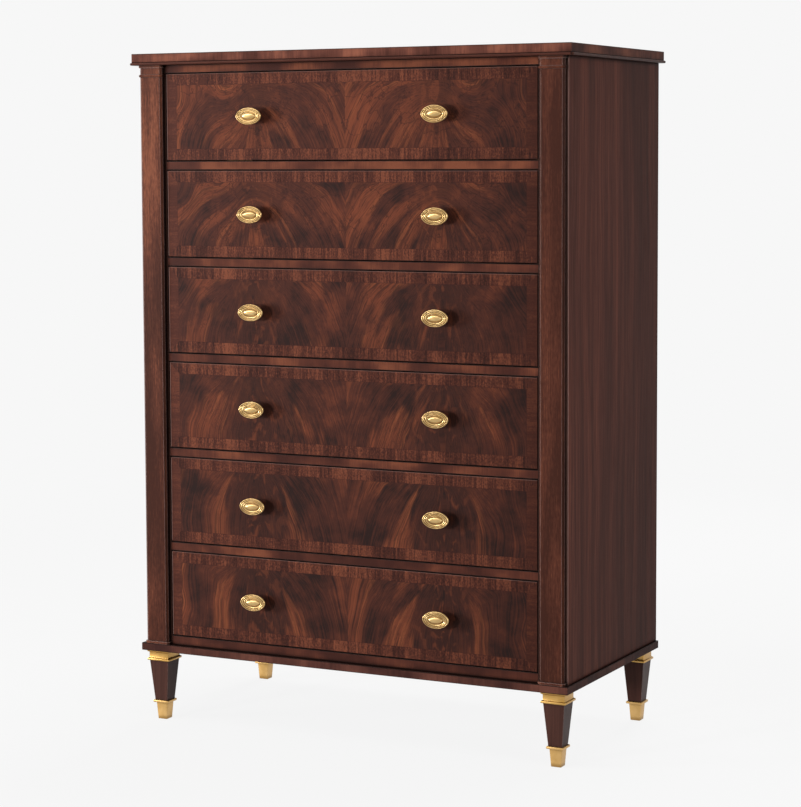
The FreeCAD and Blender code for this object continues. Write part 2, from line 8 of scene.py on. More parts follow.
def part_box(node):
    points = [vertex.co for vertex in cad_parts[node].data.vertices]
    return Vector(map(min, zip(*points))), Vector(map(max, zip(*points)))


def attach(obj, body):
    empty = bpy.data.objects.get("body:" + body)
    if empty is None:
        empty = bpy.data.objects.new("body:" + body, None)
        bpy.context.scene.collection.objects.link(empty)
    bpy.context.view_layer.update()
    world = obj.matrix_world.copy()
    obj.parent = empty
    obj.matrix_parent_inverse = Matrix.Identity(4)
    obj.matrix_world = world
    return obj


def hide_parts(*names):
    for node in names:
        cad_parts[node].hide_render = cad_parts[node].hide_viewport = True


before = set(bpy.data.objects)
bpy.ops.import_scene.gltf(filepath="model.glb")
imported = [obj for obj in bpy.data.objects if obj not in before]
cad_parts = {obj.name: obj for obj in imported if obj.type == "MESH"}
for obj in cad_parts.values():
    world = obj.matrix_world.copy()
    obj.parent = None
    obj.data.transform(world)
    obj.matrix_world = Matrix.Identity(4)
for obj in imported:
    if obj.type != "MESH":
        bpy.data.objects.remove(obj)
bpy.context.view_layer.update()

MM = 0.001
DRAWERS = range(1, 7)
LEFT, RIGHT = -1, 1
CORNERS = ("front_left", "front_right", "back_left", "back_right")


# ---------------------------------------------------------------- camera

CAMERA_PLACE = (2.272, -4.455, 1.214)
CAMERA_TURN = 26.94
CAMERA_DIP = 4.66
CAMERA_ROLL = -0.24
CAMERA_LENS = 105.0
CAMERA_SENSOR = 36.0
CAMERA_SHIFT = -0.07


def make_camera():
    data = bpy.data.cameras.new("camera")
    data.lens = CAMERA_LENS
    data.sensor_width = CAMERA_SENSOR
    data.shift_y = CAMERA_SHIFT
    camera = bpy.data.objects.new("camera", data)
    bpy.context.scene.collection.objects.link(camera)
    camera.location = CAMERA_PLACE
    aim = Euler((math.radians(90 - CAMERA_DIP), 0, math.radians(CAMERA_TURN)), "XYZ").to_matrix()
    roll = Matrix.Rotation(math.radians(CAMERA_ROLL), 3, "Z")
    camera.rotation_euler = (aim @ roll).to_euler()
    bpy.context.scene.camera = camera


# ---------------------------------------------------------------- node graphs

def linear(red, green, blue):
    """An 8-bit display colour as a linear colour with alpha."""
    def channel(value):
        share = value / 255
        return share / 12.92 if share <= 0.04045 else ((share + 0.055) / 1.055) ** 2.4
    return (channel(red), channel(green), channel(blue), 1.0)


class Graph:
    """A material's node tree, written as expressions."""

    def __init__(self, name):
        self.material = bpy.data.materials.new(name)
        self.material.use_nodes = True
        self.tree = self.material.node_tree
        self.tree.nodes.clear()

    def plug(self, socket, value):
        if isinstance(value, bpy.types.NodeSocket):
            self.tree.links.new(value, socket)
        elif value is not None:
            socket.default_value = value

    def math(self, operation, first, second=None, third=None):
        node = self.tree.nodes.new("ShaderNodeMath")
        node.operation = operation
        for socket, value in zip(node.inputs, (first, second, third)):
            self.plug(socket, value)
        return node.outputs[0]

    def add(self, *values):
        total = values[0]
        for value in values[1:]:
            total = self.math("ADD", total, value)
        return total

    def times(self, *values):
        total = values[0]
        for value in values[1:]:
            total = self.math("MULTIPLY", total, value)
        return total

    def minus(self, first, second):
        return self.math("SUBTRACT", first, second)

    def remap(self, value, low, high, new_low=0.0, new_high=1.0):
        """A value taken smoothly from one range to another, and held at its ends."""
        node = self.tree.nodes.new("ShaderNodeMapRange")
        node.interpolation_type = "SMOOTHSTEP"
        self.plug(node.inputs["Value"], value)
        limits = ("From Min", low), ("From Max", high), ("To Min", new_low), ("To Max", new_high)
        for socket, limit in limits:
            self.plug(node.inputs[socket], limit)
        return node.outputs["Result"]

    def coordinate(self, kind):
        """One kind of texture coordinate, as x, y and z."""
        coordinates = self.tree.nodes.new("ShaderNodeTexCoord")
        split = self.tree.nodes.new("ShaderNodeSeparateXYZ")
        self.plug(split.inputs[0], coordinates.outputs[kind])
        return split.outputs[0], split.outputs[1], split.outputs[2]

    def point(self):
        """Place in the shared frame with the drawers closed, in metres."""
        return self.coordinate("Object")

    def normal(self):
        """The direction that the surface faces in the shared frame."""
        return self.coordinate("Normal")

    def occlusion(self, distance, samples):
        """How open the surface is to its surroundings, from 0 in a deep corner to 1."""
        node = self.tree.nodes.new("ShaderNodeAmbientOcclusion")
        node.samples = samples
        self.plug(node.inputs["Distance"], distance)
        return node.outputs["AO"]

    def vector(self, x, y, z):
        node = self.tree.nodes.new("ShaderNodeCombineXYZ")
        for socket, value in zip(node.inputs, (x, y, z)):
            self.plug(socket, value)
        return node.outputs[0]

    def noise(self, x, y, z, detail, roughness, distortion=0.0):
        """Noise about 0.5, with one wave per unit of x, y and z."""
        node = self.tree.nodes.new("ShaderNodeTexNoise")
        self.plug(node.inputs["Vector"], self.vector(x, y, z))
        node.inputs["Scale"].default_value = 1.0
        self.plug(node.inputs["Detail"], detail)
        self.plug(node.inputs["Roughness"], roughness)
        self.plug(node.inputs["Distortion"], distortion)
        return node.outputs[0]

    def waves(self, across, along, rates, seed, detail=3.0, roughness=0.6, distortion=0.0):
        """Noise with its own number of waves per metre across and along the grain."""
        stretched = self.times(across, rates[0]), self.times(along, rates[1])
        return self.noise(*stretched, seed, detail, roughness, distortion)

    def total(self, *shares):
        """The sum of values, each given with its share."""
        return self.add(*(self.times(value, share) for value, share in shares))

    def ridge(self, value, middle, width):
        """One where a value is at the middle, falling to nothing a width away on both sides."""
        return self.remap(self.math("ABSOLUTE", self.minus(value, middle)), 0.0, width, 1.0, 0.0)

    def bell(self, distance, steepness):
        """One at no distance, falling away smoothly on both sides."""
        return self.math("EXPONENT", self.times(distance, distance, -steepness))

    def mix(self, factor, first, second, blend="MIX"):
        """The first colour, turned by the factor into the second."""
        node = self.tree.nodes.new("ShaderNodeMix")
        node.data_type = "RGBA"
        node.blend_type = blend
        self.plug(node.inputs["Factor"], factor)
        self.plug(node.inputs["A"], first)
        self.plug(node.inputs["B"], second)
        return node.outputs["Result"]

    def mix_value(self, factor, first, second):
        return self.add(first, self.times(factor, self.minus(second, first)))

    def ramp(self, value, palette, positions):
        """A palette's colours, each reached where the value comes to its position."""
        node = self.tree.nodes.new("ShaderNodeValToRGB")
        elements = node.color_ramp.elements
        while len(elements) < len(palette):
            elements.new(0.5)
        for element, colour, position in zip(elements, palette, positions):
            element.position = position
            element.color = colour
        self.plug(node.inputs[0], value)
        return node.outputs[0]

    def brighten(self, colour, factor):
        """A colour made lighter by a factor above one, or darker by one below."""
        return self.mix(1.0, colour, self.vector(factor, factor, factor), "MULTIPLY")

    def bump(self, height, distance):
        node = self.tree.nodes.new("ShaderNodeBump")
        self.plug(node.inputs["Height"], height)
        self.plug(node.inputs["Distance"], distance)
        return node.outputs[0]

    def shade(self, colour, roughness, normal=None, **settings):
        shader = self.tree.nodes.new("ShaderNodeBsdfPrincipled")
        self.plug(shader.inputs["Base Color"], colour)
        self.plug(shader.inputs["Roughness"], roughness)
        self.plug(shader.inputs["Normal"], normal)
        for name, value in settings.items():
            self.plug(shader.inputs[name.replace("_", " ")], value)
        output = self.tree.nodes.new("ShaderNodeOutputMaterial")
        self.plug(output.inputs["Surface"], shader.outputs[0])
        return self.material


# ---------------------------------------------------------------- lacquer

# A near-black painted shade and a pale painted highlight, laid over the wood's own colours.
PAINTED_SHADE = linear(22, 12, 10)
PAINTED_HIGHLIGHT = linear(176, 146, 138)
GLUE = linear(44, 24, 21)

GLOSS = {"Specular_IOR_Level": 0.05}
MATT = {"Specular_IOR_Level": 0.015}
POLISHED = {"Specular_IOR_Level": 0.10}
SATIN = 0.36
SANDED = 0.5
ROUGH = 0.55
GRAIN_DEPTH = 0.00005

# Roughness changes by this much on both sides of its own value, over the middle of a noise.
ROUGHNESS_SPREAD = (0.05, -0.04)
MIDDLING = (0.3, 0.7)

# Painted shade darkens corners to this reach, and painted highlights show on the arrises over this
# radius. The ranges run from where each begins to where it is full.
PAINTED_SHADE_REACH = 0.009
PAINTED_SHADE_SAMPLES = 6
PAINTED_SHADE_RANGE = (0.95, 0.45)
CORNER_PAINTED_SHADE = 0.8
FULL_PAINTED_SHADE = 0.95
ARRIS_RADIUS = 0.0012
ARRIS_SAMPLES = 4
ARRIS_RANGE = (0.995, 0.93)
ARRIS_HIGHLIGHT = 0.45
FAINT_HIGHLIGHT = 0.15
# Widths of the painted shade line and the painted highlight line along a board's edges, and of
# the painted shade on a front's edge.
PAINTED_SHADE_LINE = 0.0011
PAINTED_HIGHLIGHT_LINE = 0.0020
SHADED_EDGE = 0.003


def lacquered(graph, colour, grain, roughness=SATIN, finish=GLOSS, worn=ARRIS_HIGHLIGHT):
    """Lacquer over the grain, with painted highlights on the arrises and painted shade in the corners."""
    openness = graph.occlusion(PAINTED_SHADE_REACH, PAINTED_SHADE_SAMPLES)
    shade_amount = graph.remap(openness, *PAINTED_SHADE_RANGE, 0.0, CORNER_PAINTED_SHADE)
    rounded = graph.tree.nodes.new("ShaderNodeBevel")
    rounded.samples = ARRIS_SAMPLES
    graph.plug(rounded.inputs["Radius"], ARRIS_RADIUS)
    flat = graph.tree.nodes.new("ShaderNodeNewGeometry")
    turn = graph.tree.nodes.new("ShaderNodeVectorMath")
    turn.operation = "DOT_PRODUCT"
    graph.plug(turn.inputs[0], rounded.outputs[0])
    graph.plug(turn.inputs[1], flat.outputs["Normal"])
    highlight_amount = graph.remap(turn.outputs["Value"], *ARRIS_RANGE, 0.0, worn)
    # Painted highlights where the rounded arrises catch the light, and painted shade in the corners.
    colour = graph.mix(highlight_amount, colour, PAINTED_HIGHLIGHT)
    colour = graph.mix(shade_amount, colour, PAINTED_SHADE)
    rougher, smoother = (roughness + spread for spread in ROUGHNESS_SPREAD)
    varied = graph.remap(grain, *MIDDLING, rougher, smoother)
    normal = graph.bump(grain, GRAIN_DEPTH)
    graph.plug(normal.node.inputs["Normal"], rounded.outputs[0])
    return graph.shade(colour, varied, normal, **finish)


# ---------------------------------------------------------------- plain wood

# Each palette runs from its dark grain to its light grain.
CASE_PALETTE = (linear(48, 25, 20), linear(62, 34, 27), linear(80, 46, 36))
SIDE_PALETTE = (linear(54, 29, 23), linear(80, 43, 34), linear(108, 61, 48))
LEG_PALETTE = (linear(48, 28, 24), linear(61, 37, 31), linear(77, 48, 41))
PILASTER_PALETTE = (linear(54, 29, 22), linear(78, 43, 32), linear(114, 67, 48))
RAIL_PALETTE = (linear(54, 29, 24), linear(74, 40, 31), linear(104, 59, 42))
# The posts are painted nearly black, as painted shade in the channels beside the pilasters.
POST_PALETTE = (linear(34, 19, 16), linear(44, 26, 21), linear(54, 33, 27))
EDGE_PALETTE = (linear(58, 34, 29), linear(90, 54, 45), linear(124, 76, 60))
PLINTH_PALETTE = (linear(54, 33, 30), linear(72, 44, 38), linear(92, 57, 48))
BAND_PALETTE = (linear(44, 24, 20), linear(69, 37, 29), linear(105, 59, 42))
INNER_PALETTE = (linear(150, 112, 74), linear(176, 137, 94), linear(196, 158, 112))
PLY_PALETTE = (linear(96, 58, 42), linear(122, 78, 56), linear(146, 98, 72))

# Waves per metre across and along the grain.
FIBRE_RATES = (420.0, 16.0)
PORE_RATES = (1400.0, 90.0)
WANDER_RATES = (5.0, 1.6)
RIBBON_RATES = (38.0, 0.9)
RIBBON_STREAK_RATES = (171.0, 3.2)
WANDER = 0.05
PORE_RANGE = (0.60, 0.74)
PORE_DARKNESS = 0.35
PORE_HOLLOW = 0.4
PLAIN_STOPS = (0.34, 0.50, 0.66)


def fibres(graph, across, along, seed):
    """Fine fibre lines and short dark pores that run along the grain."""
    fine = graph.waves(across, along, FIBRE_RATES, seed)
    pores = graph.waves(across, along, PORE_RATES, seed + 3.1, 1.0, 0.5)
    return fine, graph.remap(pores, *PORE_RANGE)


def straight_grain(graph, across, along, seed, palette):
    """Plain sawn mahogany: broad ribbons, streaks, fibres and pores."""
    wander = graph.waves(across, along, WANDER_RATES, seed, 2.0, 0.5)
    shifted = graph.add(across, graph.times(wander, WANDER))
    ribbons = graph.waves(shifted, along, RIBBON_RATES, seed + 7.7, 3.0, 0.55)
    streaks = graph.waves(shifted, along, RIBBON_STREAK_RATES, seed + 2.3)
    fine, pores = fibres(graph, shifted, along, seed)
    value = graph.total((ribbons, 0.45), (streaks, 0.35), (fine, 0.20))
    colour = graph.ramp(value, palette, PLAIN_STOPS)
    colour = graph.mix(graph.times(pores, PORE_DARKNESS), colour, palette[0])
    return colour, graph.minus(fine, graph.times(pores, PORE_HOLLOW))


THIRD_AXIS_SHARE = 0.35


def straight_wood(name, along_axis, across_axis, seed, palette, **finish):
    """A board whose grain runs along one axis and whose ribbons change along another."""
    graph = Graph(name)
    place = dict(zip("xyz", graph.point()))
    third_axis = next(axis for axis in "xyz" if axis not in (along_axis, across_axis))
    across = graph.add(place[across_axis], graph.times(place[third_axis], THIRD_AXIS_SHARE))
    colour, grain = straight_grain(graph, across, place[along_axis], seed, palette)
    return lacquered(graph, colour, grain, **finish)


# A side has painted sheen toward the front and painted shade toward the foot: from where to where,
# and how bright at each.
SHEEN_BY_DEPTH = (0.0, 0.45, 1.28, 0.92)
SHADE_BY_HEIGHT = (0.15, 0.85, 0.86, 1.0)
FRONT_EDGE_HIGHLIGHT = 0.35
# A face counts as an inner one where its direction points inwards by more than this.
INWARD = 0.5


def side_panel_wood(name, side, seed):
    """Upright mahogany outside, painted with sheen, shade and a front-edge highlight, and pale wood
    inside.
    """
    graph = Graph(name)
    _, y, z = graph.point()
    outer, outer_grain = straight_grain(graph, y, z, seed, SIDE_PALETTE)
    from_front = graph.minus(y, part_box(name)[0].y)
    sheen_in_front = graph.remap(from_front, *SHEEN_BY_DEPTH)
    shade_below = graph.remap(z, *SHADE_BY_HEIGHT)
    # Painted sheen toward the front and painted shade toward the foot.
    outer = graph.brighten(outer, graph.times(sheen_in_front, shade_below))
    # A painted highlight along the front edge.
    outer = graph.mix(graph.remap(from_front, 0.0, PAINTED_HIGHLIGHT_LINE, FRONT_EDGE_HIGHLIGHT, 0.0), outer, PAINTED_HIGHLIGHT)
    inner, _ = straight_grain(graph, y, z, seed + 5.0, INNER_PALETTE)
    across, _, _ = graph.normal()
    is_inner = graph.math("GREATER_THAN", graph.times(across, -side), INWARD)
    return lacquered(graph, graph.mix(is_inner, outer, inner), outer_grain, finish=MATT)


BLOTCH_RATES = (26.0, 3.0)
FLECK_RATES = (300.0, 70.0)
# The heights between which a pilaster's lower tone gives way to its upper one.
TONE_CHANGE = (0.85, 1.15)
PILASTER_STOPS = (0.38, 0.50, 0.63)
RETURN_RANGE = (0.6, 0.95)
PILASTER_HIGHLIGHT = 0.8


def mottled(name, seed, top_tone=0.0, low_tone=0.0, return_shade=0.85):
    """Plain veneer on a pilaster, with soft blotches, painted highlights on its arrises, and its returns
    painted nearly black as shade.
    """
    graph = Graph(name)
    x, _, z = graph.point()
    blotch = graph.waves(x, z, BLOTCH_RATES, seed, 2.0, 0.5)
    fleck = graph.waves(x, z, FLECK_RATES, seed + 3.0, 3.0, 0.65)
    fine, pores = fibres(graph, x, z, seed)
    value = graph.total((blotch, 0.40), (fleck, 0.30), (fine, 0.30))
    value = graph.add(value, graph.remap(z, *TONE_CHANGE, low_tone, top_tone))
    colour = graph.ramp(value, PILASTER_PALETTE, PILASTER_STOPS)
    colour = graph.mix(graph.times(pores, PORE_DARKNESS), colour, PILASTER_PALETTE[0])
    # Painted shade on the faces that turn sideways.
    across, _, _ = graph.normal()
    turned = graph.remap(graph.math("ABSOLUTE", across), *RETURN_RANGE, 0.0, return_shade)
    return lacquered(graph, graph.mix(turned, colour, PAINTED_SHADE), fine, worn=PILASTER_HIGHLIGHT)


# ---------------------------------------------------------------- cross-grained veneer

# How light each rail's veneer is, from the top one down: the lower rails are painted darker, as painted
# shade.
RAIL_TONES = (-0.010, 0.025, 0.005, -0.005, -0.015, -0.035, -0.035)
RAIL_STRIPE = 0.12
BOARD_STRIPE = 0.20

CLOUDING_RATES = (12.0, 14.0)
STRIPE_RATES = (75.0, 7.0)
BAND_CLOUD_RATES = (26.0, 10.0)
BAND_STRIPE_RATES = (170.0, 9.0)
BAND_FLECK_RATES = (420.0, 230.0)
BAND_PIECES = 22.0
PIECE_STEP = 3.7
STRIPE_STOPS = (0.38, 0.50, 0.62)
BAND_STOPS = (0.42, 0.50, 0.59)
BAND_PORE_DARKNESS = 0.4
FINE_SHARE = 0.18
UNDER_RANGE = (0.3, 0.6)


def upright_stripes(graph, name, seed, palette, stripe, tone=0.0):
    """Veneer with its grain upright, so that stripes follow one another along a rail or edge."""
    x, y, z = graph.point()
    run = graph.add(x, y)
    clouding = graph.waves(run, z, CLOUDING_RATES, seed, 2.0, 0.5)
    stripes = graph.waves(run, z, STRIPE_RATES, seed + 3.0)
    fine, pores = fibres(graph, run, z, seed)
    clouding_share = 1.0 - FINE_SHARE - stripe
    value = graph.total((clouding, clouding_share), (stripes, stripe), (fine, FINE_SHARE))
    colour = graph.ramp(graph.add(value, tone), palette, STRIPE_STOPS)
    colour = graph.mix(graph.times(pores, PORE_DARKNESS), colour, palette[0])
    # A thin line of painted shade along the upper and lower edges.
    low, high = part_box(name)
    from_middle = graph.math("ABSOLUTE", graph.minus(z, (low.z + high.z) / 2))
    to_edge = graph.minus((high.z - low.z) / 2, from_middle)
    shade_amount = graph.remap(to_edge, PAINTED_SHADE_LINE * 0.9, PAINTED_SHADE_LINE * 1.5, FULL_PAINTED_SHADE, 0.0)
    return graph.mix(shade_amount, colour, PAINTED_SHADE), fine


def cross_grained(name, seed, palette, finish, stripe, tone=0.0, shade_returns=False):
    """Upright grain all round a board, with painted shade on its upper and lower faces if asked."""
    graph = Graph(name)
    colour, fine = upright_stripes(graph, name, seed, palette, stripe, tone)
    if shade_returns:
        _, _, rise = graph.normal()
        turned = graph.remap(graph.math("ABSOLUTE", rise), *UNDER_RANGE, 0.0, FULL_PAINTED_SHADE)
        colour = graph.mix(turned, colour, PAINTED_SHADE)
    return lacquered(graph, colour, fine, finish=finish, worn=FAINT_HIGHLIGHT)


def crossband(graph, along_edge, from_edge, seed):
    """Short pieces of veneer laid with the grain square to the edge: narrow irregular stripes."""
    piece = graph.math("FLOOR", graph.add(graph.times(along_edge, BAND_PIECES), seed))
    tone = graph.noise(graph.times(piece, PIECE_STEP), seed, 0.0, 0.0, 0.55)
    clouding = graph.waves(along_edge, from_edge, BAND_CLOUD_RATES, seed, 2.0, 0.5)
    stripes = graph.waves(along_edge, from_edge, BAND_STRIPE_RATES, seed + 5.5, 3.0, 0.7)
    flecks = graph.waves(along_edge, from_edge, BAND_FLECK_RATES, seed + 9.5, 2.0)
    fine, pores = fibres(graph, along_edge, from_edge, seed + 1.3)
    value = graph.total((tone, 0.12), (clouding, 0.20), (stripes, 0.34), (fine, 0.06), (flecks, 0.28))
    colour = graph.ramp(value, BAND_PALETTE, BAND_STOPS)
    return graph.mix(graph.times(pores, BAND_PORE_DARKNESS), colour, BAND_PALETTE[0]), fine


FRONT_BORDER = 0.024
TOP_BORDER = 0.045
GLUE_LINE = 0.0004
GLUE_DARKNESS = 0.6
TOP_EDGE_HIGHLIGHT = 0.3
# A face counts as the top where its direction rises by more than this.
UPWARD = 0.7


def bordered(graph, field, long_band, end_band, to_end, to_edge, width):
    """A field inside a mitred border, each a colour and its grain, with a dark glue line between."""
    at_end = graph.math("LESS_THAN", to_end, to_edge)
    nearest = graph.math("MINIMUM", to_end, to_edge)
    in_band = graph.math("LESS_THAN", nearest, width)
    line = graph.math("COMPARE", nearest, width, GLUE_LINE)
    band = graph.mix(at_end, long_band[0], end_band[0])
    colour = graph.mix(graph.times(line, GLUE_DARKNESS), graph.mix(in_band, field[0], band), GLUE)
    band_grain = graph.mix_value(at_end, long_band[1], end_band[1])
    grain = graph.mix_value(in_band, field[1], band_grain)
    return colour, grain, nearest, at_end


def top_board(name, seed):
    """Lengthwise veneer inside a crossbanded border on top, and upright grain round the edges."""
    graph = Graph(name)
    edges, edge_grain = upright_stripes(graph, name, seed, EDGE_PALETTE, BOARD_STRIPE)
    low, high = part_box(name)
    x, y, _ = graph.point()
    to_end = graph.minus((high.x - low.x) / 2, graph.math("ABSOLUTE", x))
    from_middle = graph.math("ABSOLUTE", graph.minus(y, (low.y + high.y) / 2))
    to_edge = graph.minus((high.y - low.y) / 2, from_middle)
    field = straight_grain(graph, y, x, seed + 1.0, SIDE_PALETTE)
    long_band = crossband(graph, x, to_edge, seed + 2.0)
    end_band = crossband(graph, y, to_end, seed + 3.0)
    face, face_grain, nearest, _ = bordered(graph, field, long_band, end_band, to_end, to_edge, TOP_BORDER)
    # A painted highlight along the top's edges.
    face = graph.mix(graph.remap(nearest, 0.0, PAINTED_HIGHLIGHT_LINE, TOP_EDGE_HIGHLIGHT, 0.0), face, PAINTED_HIGHLIGHT)
    _, _, rise = graph.normal()
    on_top = graph.math("GREATER_THAN", rise, UPWARD)
    grain = graph.mix_value(on_top, edge_grain, face_grain)
    return lacquered(graph, graph.mix(on_top, edges, face), grain, finish=MATT, worn=FAINT_HIGHLIGHT)


# ---------------------------------------------------------------- crotch veneer on the fronts

# The figure's colours, from its smoky ground to the heart of its flames.
SMOKE = linear(35, 23, 21)
BROWN = linear(64, 35, 28)
WARM = linear(94, 50, 35)
PLUME = linear(106, 56, 38)
FLAME = linear(142, 81, 51)

# The figure is a leaf that is opened like a book at the middle of the front, so that a feather
# stands behind each knob. For each front from the top one down: how light its figure is, how
# upright it stands at the middle, how plain its growth lines are, how strong its flames are, how
# far above the middle its arches spring, how light the joint is, and how often its plumes break.
# The lightness is partly the veneer's own and partly painted light: the upper fronts are painted lighter.
LEAVES = (
    {"light": 0.050, "upright": 0.50, "growth": 0.60, "flame": 0.36, "spring": 0.005, "heart": 0.06,
     "breaks": 2.6},
    {"light": 0.018, "upright": 0.50, "growth": 0.55, "flame": 0.34, "spring": 0.000, "heart": 0.07,
     "breaks": 2.6},
    {"light": -0.014, "upright": 0.56, "growth": 0.30, "flame": 0.30, "spring": 0.045, "heart": 0.04,
     "breaks": 4.4},
    {"light": 0.008, "upright": 0.60, "growth": 0.25, "flame": 0.32, "spring": 0.055, "heart": 0.00,
     "breaks": 4.4},
    {"light": -0.016, "upright": 0.66, "growth": 0.14, "flame": 0.40, "spring": 0.065, "heart": -0.02,
     "breaks": 2.8},
    {"light": -0.012, "upright": 0.70, "growth": 0.14, "flame": 0.42, "spring": 0.065, "heart": 0.00,
     "breaks": 2.8},
)
LEAF_STEP = 0.31
HIGHEST_SPRING = 0.07
FEATHER_AT = 0.213
FOCUS_DROP = 0.03
NEAR_ZERO = 0.0001
# How far the figure strays to the side and up, and where it stands upright or lies flatter.
DRIFT_SWAY = 0.045
RIPPLE_SWAY = 0.010
DRIFT_LIFT = 0.08
UPRIGHT_WITHIN = 0.15
FLATTENING = (0.25, 0.38)
END_HEIGHT = 0.45
SMOKY_FLATNESS = 0.25
# Clouds differ between the two halves by this step.
HALF_STEP = 0.22

DRIFT_RATES = (6.0, 6.0)
RIPPLE_RATES = (26.0, 16.0)
CLOUD_RATES = (13.0, 13.0)
PLUME_RATE = 14.0
FLAME_RATE = 58.0
STREAK_RATES = (150.0, 4.0)
FINE_RATES = (360.0, 14.0)
FIGURE_PORE_RATES = (330.0, 45.0)
GROWTH_RATES = (26.0, 7.0)
CURL_RATES = (42.0, 20.0)
FEATHER_STEEPNESS = 260.0
JOINT_STEEPNESS = 150.0
GROUND_STOPS = (0.40, 0.52, 0.66)
PLUME_RANGE = (0.48, 0.66)
PLUME_STRENGTH = 0.75
FLAME_RANGE = (0.52, 0.66)
FLAME_BED = (0.46, 0.62)
FEATHERING = (0.36, 0.62, 0.30, 1.0)
CURL_RANGE = (0.54, 0.68)
CURL_STRENGTH = 0.40
FIGURE_PORE_RANGE = (0.56, 0.70)
RING_LEVEL = 0.5
RIM_LEVEL = 0.54
RING_WIDTH = 0.012
# Flames are weaker at the joint and at the feather, and clouds darken the feather.
JOINT_FLAMES = (0.4, 1.0, 1.0, 0.6)
FEATHER_NEARNESS = (0.3, 0.8)
FEATHER_SHADOW = (0.40, 0.60, 0.10, 0.75)
# Plumes lean to one side, and are a little fewer toward the right end.
LEAN_SHARE = 0.05
FEWER_PLUMES = (0.25, 0.42, 0.0, -0.03)


def arches(graph, x, mirrored, height, leaf, upright, spring, smoky):
    """Places across and along parabolas that open downwards about the feather, and how they lean."""
    drift = graph.minus(graph.waves(mirrored, height, DRIFT_RATES, leaf, 1.0, 0.5), 0.5)
    ripple = graph.minus(graph.waves(mirrored, height, RIPPLE_RATES, leaf + 4.0, 2.0, 0.5), 0.5)
    sway = graph.total((drift, DRIFT_SWAY), (ripple, RIPPLE_SWAY))
    aside = graph.add(graph.minus(mirrored, FEATHER_AT), sway)
    opened = graph.remap(mirrored, 0.0, UPRIGHT_WITHIN, 1.0 - upright, 1.0)
    flattened = graph.remap(mirrored, *FLATTENING, 1.0, END_HEIGHT - SMOKY_FLATNESS * smoky)
    opened = graph.times(opened, flattened)
    below = graph.minus(graph.times(graph.add(height, FOCUS_DROP), opened), spring + FOCUS_DROP)
    below = graph.add(below, graph.times(drift, DRIFT_LIFT))
    reach = graph.math("SQRT", graph.add(graph.times(aside, aside), graph.times(below, below)))
    across = graph.math("SQRT", graph.math("MAXIMUM", graph.add(reach, below), NEAR_ZERO))
    along = graph.math("SQRT", graph.math("MAXIMUM", graph.minus(reach, below), NEAR_ZERO))
    lean = graph.math("DIVIDE", graph.times(graph.math("SIGN", x), aside, -1.0), reach)
    return aside, across, along, lean


def crotch_field(graph, x, height, leaf, light, upright, growth, flame, spring, heart, breaks):
    """Crotch mahogany: pale plumes arch over dark, smoky ground about a feather in each half."""
    smoky = spring / HIGHEST_SPRING
    mirrored = graph.math("ABSOLUTE", x)
    aside, across, along, lean = arches(graph, x, mirrored, height, leaf, upright, spring, smoky)
    seed = leaf + 11.0
    matched = graph.add(graph.times(graph.math("SIGN", x), HALF_STEP), leaf + 8.0)
    cloud = graph.waves(mirrored, height, CLOUD_RATES, matched, 4.0)
    plumes = graph.waves(across, along, (PLUME_RATE, breaks), seed, 2.0, 0.5)
    flames = graph.waves(across, along, (FLAME_RATE, breaks), seed + 2.0, 2.0, 0.5)
    streaks = graph.waves(across, along, STREAK_RATES, seed + 3.0)
    fine = graph.waves(across, along, FINE_RATES, seed + 5.0)
    feather = graph.bell(aside, FEATHER_STEEPNESS)
    joint = graph.bell(mirrored, JOINT_STEEPNESS)

    mist = graph.add(graph.total((cloud, 0.50), (streaks, 0.22), (fine, 0.28)), light * 0.5)
    colour = graph.ramp(mist, (SMOKE, BROWN, WARM), GROUND_STOPS)

    favoured = graph.total((lean, LEAN_SHARE), (joint, heart), (feather, -0.10 * smoky))
    shown = graph.add(plumes, favoured, light, graph.remap(x, *FEWER_PLUMES))
    feathering = graph.remap(graph.total((streaks, 0.5), (fine, 0.5)), *FEATHERING)
    halo = graph.times(graph.remap(shown, *PLUME_RANGE), feathering, PLUME_STRENGTH)
    colour = graph.mix(halo, colour, PLUME)
    core = graph.times(graph.remap(flames, *FLAME_RANGE), graph.remap(shown, *FLAME_BED))
    core = graph.times(core, graph.remap(joint, *JOINT_FLAMES))
    core = graph.times(core, graph.remap(feather, *FEATHER_NEARNESS, 1.0, 0.7 - 0.6 * smoky))
    colour = graph.mix(graph.times(core, feathering, flame), colour, FLAME)

    shadowed = graph.times(feather, graph.remap(cloud, *FEATHER_SHADOW), 0.60 + 0.40 * smoky)
    colour = graph.mix(shadowed, colour, SMOKE)
    curls = graph.waves(x, height, CURL_RATES, seed + 9.0, 2.0, 0.5, 1.6)
    colour = graph.mix(graph.times(feather, graph.remap(curls, *CURL_RANGE), CURL_STRENGTH), colour, PLUME)

    years = graph.waves(across, along, GROWTH_RATES, seed + 7.0, 2.0, 0.5)
    rings = graph.ridge(years, RING_LEVEL, RING_WIDTH)
    rims = graph.ridge(cloud, RIM_LEVEL, RING_WIDTH)
    colour = graph.mix(graph.times(graph.math("MAXIMUM", rings, rims), growth), colour, SMOKE)
    pores = graph.waves(across, along, FIGURE_PORE_RATES, seed + 6.0, 1.0, 0.5)
    colour = graph.mix(graph.remap(pores, *FIGURE_PORE_RANGE, 0.0, 0.30 + growth * 0.3), colour, SMOKE)
    return colour, fine


# Strengths of the painted highlight on a front's long and end edges.
EDGE_HIGHLIGHT = 0.13
END_HIGHLIGHT = 0.32
# A front and its end bands are painted darker toward the right end, as painted shade, and the end bands'
# stripes are muted.
DIMMING_FROM = 0.15
RIGHT_END_SHADE = 0.81
RIGHT_BAND_SHADE = 0.86
END_BAND_MUTING = 0.60
# How far forward or back a face's direction points where it counts as the front's face or its back.
FORWARD = -0.35
BACKWARD = 0.7


